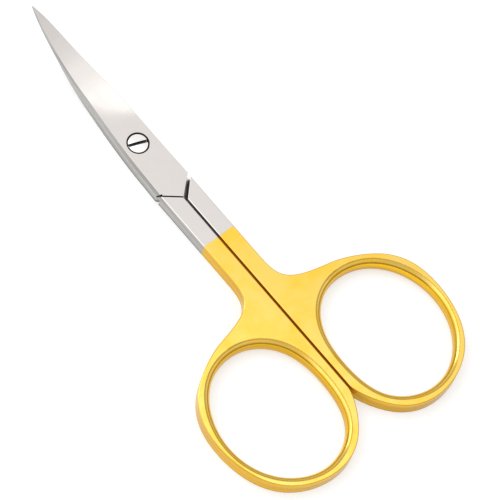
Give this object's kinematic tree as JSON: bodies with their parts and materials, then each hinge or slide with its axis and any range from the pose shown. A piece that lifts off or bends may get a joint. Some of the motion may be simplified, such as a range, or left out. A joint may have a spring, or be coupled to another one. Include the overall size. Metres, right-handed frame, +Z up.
{
  "type": "curved-blade embroidery scissors",
  "caption": "Small all-metal sewing scissors with upward-curving blades, a slotted pivot screw and gold-plated finger loops.",
  "frame": {"origin": "on the pivot axis, in the plane that the finger loops rest on", "axes": "+Y towards the blade tips along the closed scissors, +Z up along the pivot axis towards the screw's slotted head, +X across, towards the lower half's finger loop"},
  "size_m": [0.0456, 0.0883, 0.0073],
  "materials": {
    "polished_steel": "bare stainless steel, polished nearly to a mirror",
    "gold_plate": "bright gold plating over polished steel",
    "screw_steel": "turned and polished steel"
  },
  "bodies": {
    "lower_half": {"lower_blade": "polished_steel", "lower_handle": "gold_plate", "pivot_screw": "screw_steel"},
    "upper_half": {"upper_blade": "polished_steel", "upper_handle": "gold_plate"}
  },
  "joints": [
    {"name": "blade_pivot", "type": "hinge", "parent": "lower_half", "child": "upper_half", "pos_m": [0, 0, 0.0015], "axis": [0, 0, -1], "range_deg": [0, 90]}
  ]
}
